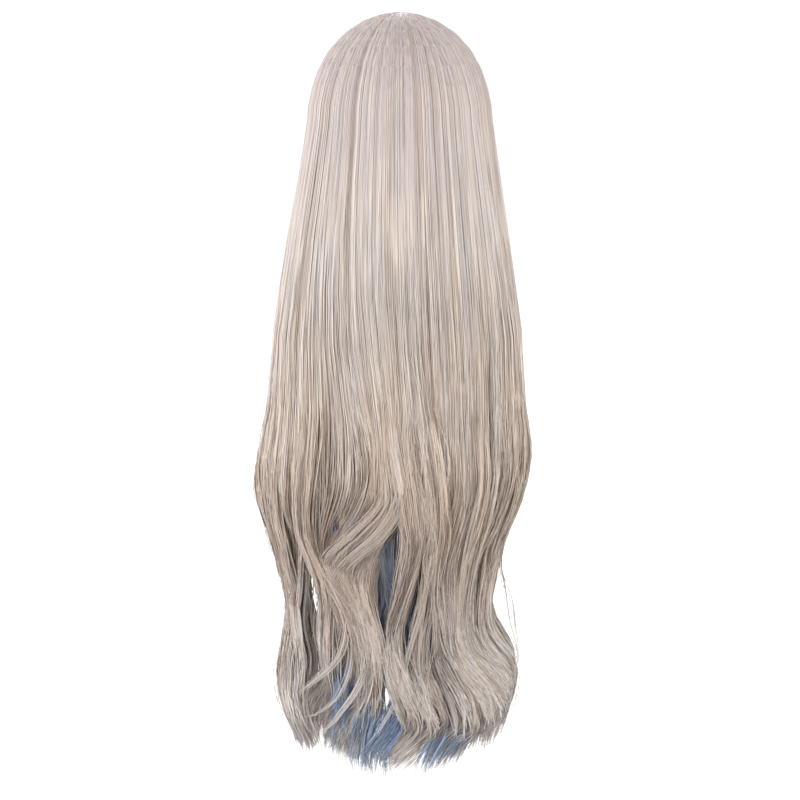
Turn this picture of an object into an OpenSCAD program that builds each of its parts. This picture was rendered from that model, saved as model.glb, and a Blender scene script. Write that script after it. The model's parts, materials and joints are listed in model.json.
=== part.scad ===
// Long costume wig: a stretch net cap with sewn wefts, and long hair that hangs from it in
// thick falls. Each fall is one soft mass of fibre that swings outwards from its roots.
// Origin: the inside top of the cap. The face opening is towards -Y, the back is towards +Y,
// and +X is the wearer's left.

/* [Cap] */
// Inside half-width of the cap, ear to ear
cap_half_w = 76; // [72:1:80]
// Inside half-length of the cap, forehead to back of head
cap_half_l = 97; // [92:1:100]
// Height of the crown above the cap's widest line
cap_rise = 100; // [96:1:104]
// Thickness of the stretch net
net_t = 0.8; // [0.6:0.1:0.9]
// Width of the elastic bands along the cap's edge
band_w = 12; // [9:1:14]
// Height of one sewn weft
weft_w = 7; // [5:1:9]
// Width of the adjuster straps
strap_w = 8; // [6:1:9]

/* [Hair over the cap] */
// Height of the hair above the crown
crown_lift = 21; // [14:1:24]
// Half-width of the hair at the cap's widest line
crown_half_w = 108; // [104:1:112]
// Half-length of the hair at the cap's widest line
crown_half_l = 120; // [118:1:124]
// Height of the line where the loose falls begin
fall_z = -118; // [-122:1:-114]

/* [Hair outline] */
// Half-width at the shoulders
shoulder_w = 127; // [122:1:132]
// Half-width halfway down
middle_w = 151; // [146:1:156]
// Half-width at the widest sweep of the waves
sweep_w = 163; // [158:1:168]
// Half-width where the waves pull in
waist_w = 140; // [136:1:148]
// Half-width where the tips flare
flare_w = 151; // [148:1:156]
// Half-width at the tips
tip_w = 128; // [124:1:134]
// Depth of the outer back falls behind the head
back_l = 156; // [152:1:160]

/* [Hair lengths] */
// Lowest point of the back falls
back_end = -846; // [-860:1:-830]
// Lowest point of the blue under layer
under_end = -858; // [-870:1:-850]
// Lowest point of the side falls
side_end = -866; // [-880:1:-850]
// Lowest point of the front locks
lock_end = -884; // [-900:1:-870]
// Lowest point of the fringe
fringe_end = -116; // [-122:1:-108]

/* [Hidden] */

// Clear gap between neighbouring falls, and between a fall and the hair above it
gap = 3;
// Clear gap between the sectors of hair that lie on the cap
crown_gap = 1.2;
// Heights of the layers above the net's inside face
band_h = [1.2, 2.2];
tape_h = [1.2, 1.8];
weft_h = [2.3, 3.3];
roots_h = 4.6;
// Layers on the inside of the net
anchor_h = [-1.0, -0.3];
label_h = [-1.3, -0.8];
strap_h = [-2.8, -1.8];
loop_h = -1.1;
// Layers of the skin-coloured top, the ear tabs and their stays
skin_h = [1.2, 1.9];
tab_h = [0, 1.2];
stay_h = [1.6, 2.4];

// Directions round the head, in degrees from the back (+Y) towards the wearer's left (+X)
back_edge = 24;
back_side_edge = 62;
side_edge = 103;
temple_edge = 141;
front_mid = 180;

// Edge of the cap, and of the net above the nape panel: direction from the back, height
cap_edge = [[0, -163], [30, -158], [52, -132], [72, -98], [95, -90], [116, -84], [140, -66], [180, -55]];
net_edge = [[0, -119], [46, -119], [60, -112], [72, -98], [95, -90], [116, -84], [140, -66], [180, -55]];

// Outline of the hair below the cap's widest line: drop below the crown, half-size
half_w_rows = [
  [cap_rise, crown_half_w], [210, shoulder_w], [360, middle_w], [520, sweep_w],
  [645, waist_w], [765, flare_w], [890, tip_w]
];
half_l_rows = [
  [cap_rise, crown_half_l], [210, 134], [360, 147], [520, back_l],
  [645, back_l - 12], [765, back_l - 6], [890, back_l - 28]
];

// The waves swing the falls round the head, by this angle, from this drop, once per length
wave_angle = 6;
wave_from = 420;
wave_rise = 120;
wave_length = 330;
// The last stretch of a fall narrows to this share of its width and turns inwards by this much
tip_run = 130;
tip_share = 0.5;
tip_turn = 14;

radian = 180 / PI;
fall_rows = 20;
fall_cols = 7;
crown_rows = 8;
crown_cols = 6;
net_cols = 56;
net_rows = 14;
thread_r = 0.5;

// Smooth curve through a list of [position, value] rows, level at both ends
function ease(t) = t * t * (3 - 2 * t);
function clamp(t) = min(1, max(0, t));
function mix(a, b, t) = a + (b - a) * t;
function row_before(rows, x, i = 0) =
  i >= len(rows) - 2 || x <= rows[i + 1][0] ? i : row_before(rows, x, i + 1);
function slope(rows, i) =
  i == 0 || i == len(rows) - 1 ? 0 : (rows[i + 1][1] - rows[i - 1][1]) / (rows[i + 1][0] - rows[i - 1][0]);
function curve(a, b, slope_a, slope_b, t) =
  mix(a[1], b[1], ease(t)) + (b[0] - a[0]) * t * (1 - t) * (slope_a * (1 - t) - slope_b * t);
function value_at(rows, x) = let (i = row_before(rows, x), a = rows[i], b = rows[i + 1])
  curve(a, b, slope(rows, i), slope(rows, i + 1), clamp((x - a[0]) / (b[0] - a[0])));

// A point above the cap's inside face, by direction, tilt from the crown and height
function cap_base(az, tilt) = [
  cap_half_w * sin(tilt) * sin(az),
  cap_half_l * sin(tilt) * cos(az),
  cap_rise * (cos(tilt) - 1)
];
function cap_normal(p) = [p.x / pow(cap_half_w, 2), p.y / pow(cap_half_l, 2), (p.z + cap_rise) / pow(cap_rise, 2)];
function cap_point(az, tilt, h) = let (p = cap_base(az, tilt), n = cap_normal(p)) p + h * n / norm(n);
function tilt_at(z) = acos(max(-1, min(1, z / cap_rise + 1)));
function from_back(az) = abs(az) > 180 ? 360 - abs(az) : abs(az);
function edge_z(az) = value_at(cap_edge, from_back(az));
function net_z(az) = value_at(net_edge, from_back(az));

// Half-sizes of the whole hair mass at a height
function dome_share(z) = sqrt(max(0, 1 - pow((z + cap_rise) / (cap_rise + crown_lift), 2)));
function hair_w(z) = z > -cap_rise ? crown_half_w * dome_share(z) : value_at(half_w_rows, -z);
function hair_l(z) = z > -cap_rise ? crown_half_l * dome_share(z) : value_at(half_l_rows, -z);
function hair_point(az, z, inset) = [(hair_w(z) - inset) * sin(az), (hair_l(z) - inset) * cos(az), z];

// Swing of the waves at a height
function sway(z, angle) =
  angle * ease(clamp((-z - wave_from) / wave_rise)) * sin(360 * (-z - wave_from) / wave_length);

// Closed solid between two matching grids of points, each a list of rows
function grid_faces(rows, cols, n) = [
  for (r = [0 : rows - 2], c = [0 : cols - 2])
    let (a = r * cols + c, b = a + 1, d = a + cols, e = d + 1)
      each [[a, d, b], [b, d, e], [a + n, b + n, d + n], [b + n, e + n, d + n]]
];
function end_faces(rows, cols, n) = [
  for (c = [0 : cols - 2])
    let (a = c, b = c + 1, d = (rows - 1) * cols + c, e = d + 1)
      each [[a, b, b + n], [a, b + n, a + n], [e, d, d + n], [e, d + n, e + n]]
];
function side_faces(rows, cols, n) = [
  for (r = [0 : rows - 2])
    let (a = r * cols, d = a + cols, b = a + cols - 1, e = d + cols - 1)
      each [[d, a, a + n], [d, a + n, d + n], [b, e, e + n], [b, e + n, b + n]]
];
module slab(outer, inner) {
  rows = len(outer);
  cols = len(outer[0]);
  n = rows * cols;
  points = concat([for (row = outer) each row], [for (row = inner) each row]);
  polyhedron(points, concat(grid_faces(rows, cols, n), end_faces(rows, cols, n), side_faces(rows, cols, n)));
}

// Closed bowl between two matching sets of rings, each under its own apex
function ring_faces(rows, cols, n) = [
  for (r = [0 : rows - 2], c = [0 : cols - 1])
    let (a = r * cols + c, b = r * cols + (c + 1) % cols, d = a + cols, e = b + cols)
      each [[a, d, b], [b, d, e], [a + n, b + n, d + n], [b + n, e + n, d + n]]
];
function rim_faces(rows, cols, n) = [
  for (c = [0 : cols - 1])
    let (d = (rows - 1) * cols + c, e = (rows - 1) * cols + (c + 1) % cols)
      each [[e, d, d + n], [e, d + n, e + n]]
];
function apex_faces(cols, n) = [
  for (c = [0 : cols - 1])
    let (a = c, b = (c + 1) % cols)
      each [[2 * n, a, b], [2 * n + 1, b + n, a + n]]
];
module bowl(outer, inner, outer_apex, inner_apex) {
  rows = len(outer);
  cols = len(outer[0]);
  n = rows * cols;
  points = concat([for (row = outer) each row], [for (row = inner) each row], [outer_apex, inner_apex]);
  polyhedron(points, concat(ring_faces(rows, cols, n), rim_faces(rows, cols, n), apex_faces(cols, n)));
}

// A ribbon on the cap: between two directions, from a high to a low height rule
module ribbon(az0, az1, z_high, z_low, heights, cols, rows = 2) {
  function row(t, h) = [
    for (i = [0 : cols])
      let (az = mix(az0, az1, i / cols))
        cap_point(az, tilt_at(mix(z_high(az), z_low(az), t)), h)
  ];
  steps = [for (i = [0 : rows]) i / rows];
  slab([for (t = steps) row(t, heights[1])], [for (t = steps) row(t, heights[0])]);
}

// The net itself: a bowl whose rim follows the edge of the cap
module crown_net() {
  function ring(t, h) = [
    for (i = [0 : net_cols - 1])
      let (az = 360 * i / net_cols)
        cap_point(az, tilt_at(net_z(az)) * t, h)
  ];
  color([0.25, 0.21, 0.19])
    bowl(
      [for (r = [1 : net_rows]) ring(r / net_rows, net_t)],
      [for (r = [1 : net_rows]) ring(r / net_rows, 0)],
      cap_point(0, 0, net_t), cap_point(0, 0, 0)
    );
}

// Stretch panel over the nape, sewn below the net
panel_reach = 56;
panel_seam = 0.6;
module nape_panel() {
  color([0.25, 0.21, 0.19])
    ribbon(
      -panel_reach, panel_reach, function (az) net_z(az) - panel_seam,
      function (az) min(edge_z(az), net_z(az) - 4), [0, net_t], 24, 5
    );
}

// Skin-coloured top that the hair is rooted in, from the whorl towards the forehead
skin_front = -64;
skin_back = 16;
skin_half_w = 15;
skin_rounding = 0.8;
skin_rows = 10;
module parting_skin() {
  function skin_point(x, y, h) = let (s = sqrt(1 - pow(x / cap_half_w, 2) - pow(y / cap_half_l, 2)))
    let (p = [x, y, cap_rise * (s - 1)], n = cap_normal(p)) p + h * n / norm(n);
  function half_w_at(t) = skin_half_w * sqrt(1 - pow(abs(2 * t - 1), 4) * skin_rounding);
  function row(t, h) = [for (c = [-1 : 1 / 3 : 1.01]) skin_point(half_w_at(t) * c, mix(skin_back, skin_front, t), h)];
  steps = [for (i = [0 : skin_rows]) i / skin_rows];
  color([0.86, 0.72, 0.62])
    slab([for (t = steps) row(t, skin_h[1])], [for (t = steps) row(t, skin_h[0])]);
}

module front_band() {
  color([0.30, 0.26, 0.24])
    ribbon(118, 242, function (az) edge_z(az) + band_w, function (az) edge_z(az) + 0.5, band_h, 24);
}

module nape_band() {
  color([0.30, 0.26, 0.24])
    ribbon(-50, 50, function (az) edge_z(az) + band_w, function (az) edge_z(az) + 0.5, band_h, 20);
}

// Elastic tapes that run down the back and sides of the cap
tape_half = 3;
tape_top_tilt = 22;
tape_azimuths = [-88, -58, -29, 0, 29, 58, 88];
module cap_tapes() {
  function tape_point(az, tilt, side, h) =
    cap_point(az + side * tape_half / (cap_half_w * max(0.3, sin(tilt))) * radian, tilt, h);
  function low_tilt(az) = tilt_at(edge_z(az) + (abs(az) < 50 ? band_w + 1.5 : 2));
  function rows(az, h) = [
    for (i = [0 : 12])
      let (tilt = mix(tape_top_tilt, low_tilt(az), i / 12))
        [for (side = [-1, 0, 1]) tape_point(az, tilt, side, h)]
  ];
  color([0.33, 0.29, 0.27])
    for (az = tape_azimuths) slab(rows(az, tape_h[1]), rows(az, tape_h[0]));
}

// Fabric tab in front of each ear, and the flat stay sewn on it
tab_az = 109;
tab_half = 7;
tab_low = -116;
module ear_tab(side) {
  function row(t, h) = [
    for (i = [-2 : 2])
      let (az = side * (tab_az + tab_half * (1 - 0.35 * t * t) * i / 2), z = mix(edge_z(az) - 0.6, tab_low, t))
        cap_point(az, tilt_at(z), h)
  ];
  outer = [for (t = [0 : 0.25 : 1]) row(t, tab_h[1])];
  inner = [for (t = [0 : 0.25 : 1]) row(t, tab_h[0])];
  color([0.30, 0.26, 0.24])
    if (side > 0) slab(outer, inner); else slab(inner, outer);
}
module ear_tab_left() { ear_tab(1); }
module ear_tab_right() { ear_tab(-1); }

stay_half = 2;
module ear_stay(side) {
  function row(t, h) = [
    for (i = [-1 : 1])
      let (az = side * (tab_az + stay_half * i), z = mix(edge_z(az) + 2, tab_low + 4, t))
        cap_point(az, tilt_at(z), h)
  ];
  outer = [for (t = [0 : 0.2 : 1]) row(t, stay_h[1])];
  inner = [for (t = [0 : 0.2 : 1]) row(t, stay_h[0])];
  color([0.75, 0.75, 0.77])
    if (side > 0) slab(outer, inner); else slab(inner, outer);
}
module ear_stay_left() { ear_stay(1); }
module ear_stay_right() { ear_stay(-1); }

// Sewn rows of hair: narrow strips round the back and sides
module weft(z, reach) {
  color([0.62, 0.56, 0.52])
    ribbon(-reach, reach, function (az) z + weft_w / 2, function (az) z - weft_w / 2, weft_h, 28);
}
module weft_upper() { weft(-58, 95); }
module weft_middle() { weft(-84, 70); }
module weft_lower() { weft(-112, 54); }
module weft_nape() { weft(-138, 42); }

// Adjuster: a strap from an anchor behind each ear, with a hook that catches a loop at the nape
strap_z = -148;
anchor_z = -138;
strap_from = 47;
strap_to = 20;
anchor_from = 53;
module strap_anchor(side) {
  function row(t, h) = [
    for (i = [0 : 2])
      let (az = side * mix(strap_from - 1, anchor_from, i / 2))
        cap_point(az, tilt_at(anchor_z + mix(strap_w, -strap_w, t) / 2), h)
  ];
  outer = [for (t = [0, 0.5, 1]) row(t, anchor_h[1])];
  inner = [for (t = [0, 0.5, 1]) row(t, anchor_h[0])];
  color([0.30, 0.26, 0.24])
    if (side > 0) slab(outer, inner); else slab(inner, outer);
}
module strap_anchor_left() { strap_anchor(1); }
module strap_anchor_right() { strap_anchor(-1); }

module strap(side) {
  function row(t, h) = [
    for (i = [0 : 8])
      let (az = side * mix(strap_to, anchor_from, i / 8), z = mix(strap_z, anchor_z, ease(i / 8)))
        cap_point(az, tilt_at(z + mix(strap_w, -strap_w, t) / 2), h)
  ];
  outer = [for (t = [0, 0.5, 1]) row(t, strap_h[1])];
  inner = [for (t = [0, 0.5, 1]) row(t, strap_h[0])];
  color([0.20, 0.18, 0.17])
    if (side > 0) slab(outer, inner); else slab(inner, outer);
}
module strap_left() { strap(1); }
module strap_right() { strap(-1); }

// Flat wire hook at the strap's free end: an eye round the strap end and an open claw
hook_az = 18.4;
hook_h = -2.6;
module strap_hook(side) {
  color([0.55, 0.55, 0.57])
    translate(cap_point(side * hook_az, tilt_at(strap_z), hook_h))
      rotate([0, 0, -side * hook_az])
        rotate([180 - tilt_at(strap_z), 0, 0])
          linear_extrude(height = 1, center = true)
            difference() {
              union() {
                square([3.4, strap_w], center = true);
                translate([-side * 3.4, 0]) circle(r = 3.2, $fn = 40);
              }
              translate([-side * 3.8, 0]) circle(r = 1.8, $fn = 40);
              translate([-side * 5.4, -1.2]) square([2.6, 2.4], center = true);
            }
}
module strap_hook_left() { strap_hook(1); }
module strap_hook_right() { strap_hook(-1); }

// Row of thread loops inside the nape band
loop_azimuths = [-9.5, -5.7, -1.9, 1.9, 5.7, 9.5];
loop_r = 1.9;
module hook_loops() {
  color([0.16, 0.15, 0.15])
    for (az = loop_azimuths)
      translate(cap_point(az, tilt_at(strap_z), loop_h))
        rotate([0, 0, -az])
          rotate([180 - tilt_at(strap_z), 0, 0])
            rotate_extrude($fn = 32)
              translate([loop_r, 0]) circle(r = thread_r, $fn = 16);
}

// Blank size label, sewn inside the back of the cap
label_half = 12;
label_z = [-108, -122];
module size_label() {
  color([0.93, 0.93, 0.90])
    ribbon(-label_half, label_half, function (az) label_z[0], function (az) label_z[1], label_h, 6);
}

// Hair lying over the cap: one sector between two directions, from a tilt down to a height
module crown_hair(az0, az1, top_tilt, low_z, low_inset) {
  steep = low_z < -cap_rise;
  skirt_z = mix(-cap_rise, low_z, 0.5);
  last_tilt = steep ? 90 : acos((low_z + cap_rise) / (cap_rise + crown_lift));
  function side_gap(z) = crown_gap / 2 / max(12, hair_w(z)) * radian;
  function azimuths(z) = [for (i = [0 : crown_cols]) mix(az0 + side_gap(z), az1 - side_gap(z), i / crown_cols)];
  function dome_z(tilt) = -cap_rise + (cap_rise + crown_lift) * cos(tilt);
  function tilts() = [for (i = [0 : crown_rows]) mix(top_tilt, last_tilt, i / crown_rows)];
  function low_share(tilt) = low_inset * ease(max(0, (tilt - top_tilt) / (last_tilt - top_tilt)));
  outer = concat(
    [for (tilt = tilts()) let (z = dome_z(tilt)) [for (az = azimuths(z)) hair_point(az, z, low_share(tilt))]],
    steep ? [for (z = [skirt_z, low_z]) [for (az = azimuths(z)) hair_point(az, z, 0)]] : []
  );
  inner = concat(
    [for (tilt = tilts()) [for (az = azimuths(dome_z(tilt))) cap_point(az, tilt, roots_h)]],
    steep ? [
      for (z = [skirt_z, low_z])
        [for (az = azimuths(z)) [(cap_half_w + roots_h) * sin(az), (cap_half_l + roots_h) * cos(az), z]]
    ] : []
  );
  slab(outer, inner);
}

whorl_tilt = 12;
sector_tilt = 14;
blonde = [0.80, 0.75, 0.71];
ash = [0.72, 0.66, 0.62];
steel_blue = [0.45, 0.53, 0.66];

// Small round cap of hair at the whorl, where all the sectors meet
module crown_whorl() {
  tilts = [whorl_tilt / 3, whorl_tilt * 2 / 3, whorl_tilt];
  color(blonde)
    bowl(
      [for (t = tilts) [for (i = [0 : 23]) hair_point(i * 15, -cap_rise + (cap_rise + crown_lift) * cos(t), 0)]],
      [for (t = tilts) [for (i = [0 : 23]) cap_point(i * 15, t, roots_h)]],
      [0, 0, crown_lift], [0, 0, roots_h]
    );
}
module crown_hair_back() { color(blonde) crown_hair(-back_edge, back_edge, sector_tilt, fall_z, 0); }
module crown_hair_back_left() { color(ash) crown_hair(back_edge, back_side_edge, sector_tilt, fall_z, 0); }
module crown_hair_back_right() { color(ash) crown_hair(-back_side_edge, -back_edge, sector_tilt, fall_z, 0); }
module crown_hair_side_left() { color(blonde) crown_hair(back_side_edge, side_edge, sector_tilt, fall_z, 0); }
module crown_hair_side_right() { color(blonde) crown_hair(-side_edge, -back_side_edge, sector_tilt, fall_z, 0); }
module crown_hair_temple_left() { color(ash) crown_hair(side_edge, temple_edge, sector_tilt, fall_z, 0); }
module crown_hair_temple_right() { color(ash) crown_hair(-temple_edge, -side_edge, sector_tilt, fall_z, 0); }
front_low = -50;
front_inset = 6;
module crown_hair_front_left() {
  color(blonde) crown_hair(temple_edge, front_mid, sector_tilt, front_low, front_inset);
}
module crown_hair_front_right() {
  color(blonde) crown_hair(-front_mid, -temple_edge, sector_tilt, front_low, front_inset);
}

// One hanging fall: a crescent of fibre between two directions, waved and narrowed at its tip.
// cut is how much lower its end is on the wearer's left than on the right
module fall(az0, az1, inset, thick, top_z, end_z, wave, cut = 0) {
  mid = (az0 + az1) / 2;
  function side_gap(z) = gap / 2 / hair_w(z) * radian;
  function tip(z) = ease(clamp((end_z + tip_run - z) / tip_run));
  function width_share(z) = mix(1, tip_share, tip(z));
  function az_at(z, u) = mid + (mix(az0 + side_gap(z), az1 - side_gap(z), u) - mid) * width_share(z) + sway(z, wave);
  function thick_at(z, u) = thick * mix(1, 0.4, tip(z)) * (0.45 + 0.55 * sqrt(sin(180 * mix(0.08, 0.92, u))));
  function row(t, share) = [
    for (i = [0 : fall_cols])
      let (u = i / fall_cols, z = mix(top_z, end_z, t), drop = cut * (u - 0.5) * tip(z))
        hair_point(az_at(z, u), z - drop, inset + tip_turn * tip(z) + share * thick_at(z, u))
  ];
  steps = [for (i = [0 : fall_rows]) i / fall_rows];
  slab([for (t = steps) row(t, 0)], [for (t = steps) row(t, 1)]);
}

outer_thick = 17;
side_thick = 25;
under_inset = 19.5;
under_thick = 10;
fall_top = fall_z - gap;
under_top = -150;
lock_cut = 16;
module back_fall() { color(blonde) fall(-back_edge, back_edge, 0, outer_thick, fall_top, back_end, wave_angle); }
module back_fall_left() {
  color(ash) fall(back_edge, back_side_edge, 0, outer_thick, fall_top, back_end, wave_angle);
}
module back_fall_right() {
  color(ash) fall(-back_side_edge, -back_edge, 0, outer_thick, fall_top, back_end, wave_angle);
}
module under_fall() {
  color(steel_blue) fall(-back_edge, back_edge, under_inset, under_thick, under_top, under_end, wave_angle);
}
module under_fall_left() {
  color(steel_blue) fall(back_edge, back_side_edge, under_inset, under_thick, under_top, under_end, wave_angle);
}
module under_fall_right() {
  color(steel_blue) fall(-back_side_edge, -back_edge, under_inset, under_thick, under_top, under_end, wave_angle);
}
module side_fall_left() {
  color(blonde) fall(back_side_edge, side_edge, 0, side_thick, fall_top, side_end, wave_angle);
}
module side_fall_right() {
  color(blonde) fall(-side_edge, -back_side_edge, 0, side_thick, fall_top, side_end, wave_angle);
}
module front_lock_left() {
  color(ash) fall(side_edge, temple_edge, 0, side_thick, fall_top, lock_end, wave_angle, -lock_cut);
}
module front_lock_right() {
  color(ash) fall(-temple_edge, -side_edge, 0, side_thick, fall_top, lock_end, wave_angle, lock_cut);
}

// Fringe: two short sweeps over the forehead
fringe_top = -58;
fringe_rows = 6;
fringe_stand = [8, 15];
fringe_swell = [1, 7];
module fringe(az0, az1) {
  side_gap = gap / 2 / cap_half_w * radian;
  function row(t, h) = [
    for (i = [0 : fall_cols])
      let (az = mix(az0 + side_gap, az1 - side_gap, i / fall_cols), z = mix(fringe_top, fringe_end, t))
        let (s = z > -cap_rise ? sin(tilt_at(z)) : 1)
          [(cap_half_w + h) * sin(az) * s, (cap_half_l + h) * cos(az) * s, z]
  ];
  function outer_h(t) = mix(fringe_stand[1] + fringe_swell[1], fringe_stand[1], ease(t));
  function inner_h(t) = mix(fringe_stand[0] + fringe_swell[0], fringe_stand[0], t);
  steps = [for (i = [0 : fringe_rows]) i / fringe_rows];
  slab([for (t = steps) row(t, outer_h(t))], [for (t = steps) row(t, inner_h(t))]);
}
module fringe_left() { color(blonde) fringe(temple_edge, front_mid); }
module fringe_right() { color(blonde) fringe(-front_mid, -temple_edge); }

crown_net();
nape_panel();
parting_skin();
front_band();
nape_band();
cap_tapes();
ear_tab_left();
ear_tab_right();
ear_stay_left();
ear_stay_right();
weft_upper();
weft_middle();
weft_lower();
weft_nape();
strap_anchor_left();
strap_anchor_right();
hook_loops();
size_label();
strap_left();
strap_right();
strap_hook_left();
strap_hook_right();
crown_whorl();
crown_hair_back();
crown_hair_back_left();
crown_hair_back_right();
crown_hair_side_left();
crown_hair_side_right();
crown_hair_temple_left();
crown_hair_temple_right();
crown_hair_front_left();
crown_hair_front_right();
back_fall();
back_fall_left();
back_fall_right();
under_fall();
under_fall_left();
under_fall_right();
side_fall_left();
side_fall_right();
front_lock_left();
front_lock_right();
fringe_left();
fringe_right();
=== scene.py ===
"""Long two-tone costume wig, seen from the back.

The hair is made of fine closed fibres. Each fibre belongs to a wisp, each wisp to a lock, and each lock
follows its own path down its fall and is named after the CAD body of that fall.
Directions are degrees from the back (+Y) towards the wearer's left (+X), and drops are metres below the
origin, which is the inside top of the cap.
"""

import json
import math

import bpy
import numpy as np
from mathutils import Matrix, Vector


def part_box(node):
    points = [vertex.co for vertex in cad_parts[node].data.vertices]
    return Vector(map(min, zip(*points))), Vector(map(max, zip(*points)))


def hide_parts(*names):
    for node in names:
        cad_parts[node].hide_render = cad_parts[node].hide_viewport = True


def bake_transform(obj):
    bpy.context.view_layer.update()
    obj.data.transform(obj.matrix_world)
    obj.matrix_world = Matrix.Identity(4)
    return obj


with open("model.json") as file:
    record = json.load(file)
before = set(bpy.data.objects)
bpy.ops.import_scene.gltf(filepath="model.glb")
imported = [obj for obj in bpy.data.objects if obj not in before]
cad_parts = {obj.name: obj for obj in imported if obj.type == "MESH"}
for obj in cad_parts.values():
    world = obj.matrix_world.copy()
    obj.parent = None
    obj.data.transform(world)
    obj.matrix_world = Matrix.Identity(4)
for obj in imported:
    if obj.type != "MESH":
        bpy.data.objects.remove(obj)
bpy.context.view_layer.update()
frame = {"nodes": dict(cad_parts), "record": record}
rng = np.random.default_rng(20)
scene = bpy.context.scene

# ---------------------------------------------------------------- sizes, in metres

# The hair over the cap: its top above the origin, the drop of its widest line, and its half-width and
# half-length there
CROWN_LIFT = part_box("crown_whorl")[1][2]
CAP_RISE = 0.100
CROWN_HALF_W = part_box("crown_hair_side_left")[1][0]
CROWN_HALF_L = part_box("crown_hair_back")[1][1]

# Outline of the hair below the cap's widest line: drop, half-width, half-length
OUTLINE = np.array([
    (CAP_RISE, 0.108, 0.120),
    (0.210, 0.127, 0.134),
    (0.360, 0.151, 0.147),
    (0.520, 0.163, 0.156),
    (0.645, 0.140, 0.144),
    (0.765, 0.151, 0.150),
    (0.890, 0.128, 0.128),
])
# How full each side is: drop, shares of the half-width on the wearer's left and right
SIDE_SHARES = np.array([
    (0.0, 0.98, 0.98), (0.070, 0.965, 0.965), (0.130, 1.0, 1.0), (0.210, 1.0, 0.97), (0.360, 1.0, 0.96),
    (0.430, 0.99, 0.945), (0.500, 1.04, 0.99), (0.545, 1.07, 0.95), (0.590, 1.05, 0.87),
    (0.645, 1.03, 0.82), (0.700, 1.01, 0.79), (0.750, 1.0, 0.93), (0.800, 1.0, 0.97), (0.890, 1.0, 0.90),
])

# Radius of the fibres that show and of the thicker ones that fill behind them, and their sides
FIBRE_R = 0.00042
FILL_R = 0.0009
SIDES = 3
# Rings of a fibre over the cap, down the straight part, and in the waves below STRAIGHT_TO
DOME_RINGS = 9
STRAIGHT_TO = 0.40
STRAIGHT_RINGS = 6
WAVE_RINGS = 27
# Depth of the outer layer, the length over which a tip is drawn out, and the share of stray fibres
FALL_DEPTH = 0.017
TIP_RUN = 0.07
STRAYS = 0.025
# Fibres in each wisp of the outer locks, the under layer, the fringe and the fibres that fill them
LOCK_WISP, UNDER_WISP, FRINGE_WISP, FILL_WISP = 8, 14, 12, 3
# Fibres per degree at the roots: outer locks at the back and at the sides, and the under layer, each
# with the fibres that fill behind them
BACK_DENSITY, SIDE_DENSITY, LOCK_FILL_DENSITY = 31, 22, 4.5
UNDER_DENSITY, UNDER_FILL_DENSITY = 15, 2.2
FRINGE_FIBRES, FRINGE_FILL = 620, 90


def ease(t):
    """Smooth step from 0 to 1, level at both ends."""
    t = np.clip(t, 0, 1)
    return t * t * (3 - 2 * t)


def curve_through(xs, ys, x):
    """Smooth curve through the points, level at both ends."""
    xs, ys, x = np.asarray(xs, float), np.asarray(ys, float), np.asarray(x, float)
    slopes = np.zeros_like(ys)
    slopes[1:-1] = (ys[2:] - ys[:-2]) / (xs[2:] - xs[:-2])
    i = np.clip(np.searchsorted(xs, x) - 1, 0, len(xs) - 2)
    h = xs[i + 1] - xs[i]
    t = np.clip((x - xs[i]) / h, 0, 1)
    return (
        ys[i] + (ys[i + 1] - ys[i]) * ease(t)
        + h * t * (1 - t) * (slopes[i] * (1 - t) - slopes[i + 1] * t)
    )


def follow(path, x):
    """Value at x of a smooth path, given as x: value."""
    return curve_through(list(path), list(path.values()), x)


def fill_sides(points):
    """Draws the two sides in or out, by the shares for the height."""
    left, right = (curve_through(SIDE_SHARES[:, 0], SIDE_SHARES[:, i], -points[..., 2]) for i in (1, 2))
    points[..., 0] *= np.where(points[..., 0] < 0, right, left)
    return points


def on_dome(az, tilt, inset):
    """Point of the hair over the cap, by direction, tilt from the crown and depth."""
    a, t = np.radians(az), np.radians(tilt)
    return np.stack([
        (CROWN_HALF_W - inset) * np.sin(t) * np.sin(a),
        (CROWN_HALF_L - inset) * np.sin(t) * np.cos(a),
        -CAP_RISE + (CAP_RISE + CROWN_LIFT - inset) * np.cos(t),
    ], -1)


def towards(az, tilt):
    """Unit vectors for directions and tilts in degrees."""
    a, t = np.broadcast_arrays(np.radians(az), np.radians(tilt))
    return np.stack([np.sin(t) * np.sin(a), np.sin(t) * np.cos(a), np.cos(t)], -1)


def directions(vectors):
    """Direction and tilt in degrees of vectors of any length."""
    x, y, z = vectors[..., 0], vectors[..., 1], vectors[..., 2]
    return np.degrees(np.arctan2(x, y)), np.degrees(np.arctan2(np.hypot(x, y), z))


def on_fall(az, drop, inset):
    """Point of the hanging hair, by direction, drop and depth."""
    a = np.radians(az)
    w = curve_through(OUTLINE[:, 0], OUTLINE[:, 1], drop)
    l = curve_through(OUTLINE[:, 0], OUTLINE[:, 2], drop)
    return fill_sides(np.stack([(w - inset) * np.sin(a), (l - inset) * np.cos(a), -drop], -1))


# ---------------------------------------------------------------- locks

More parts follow.
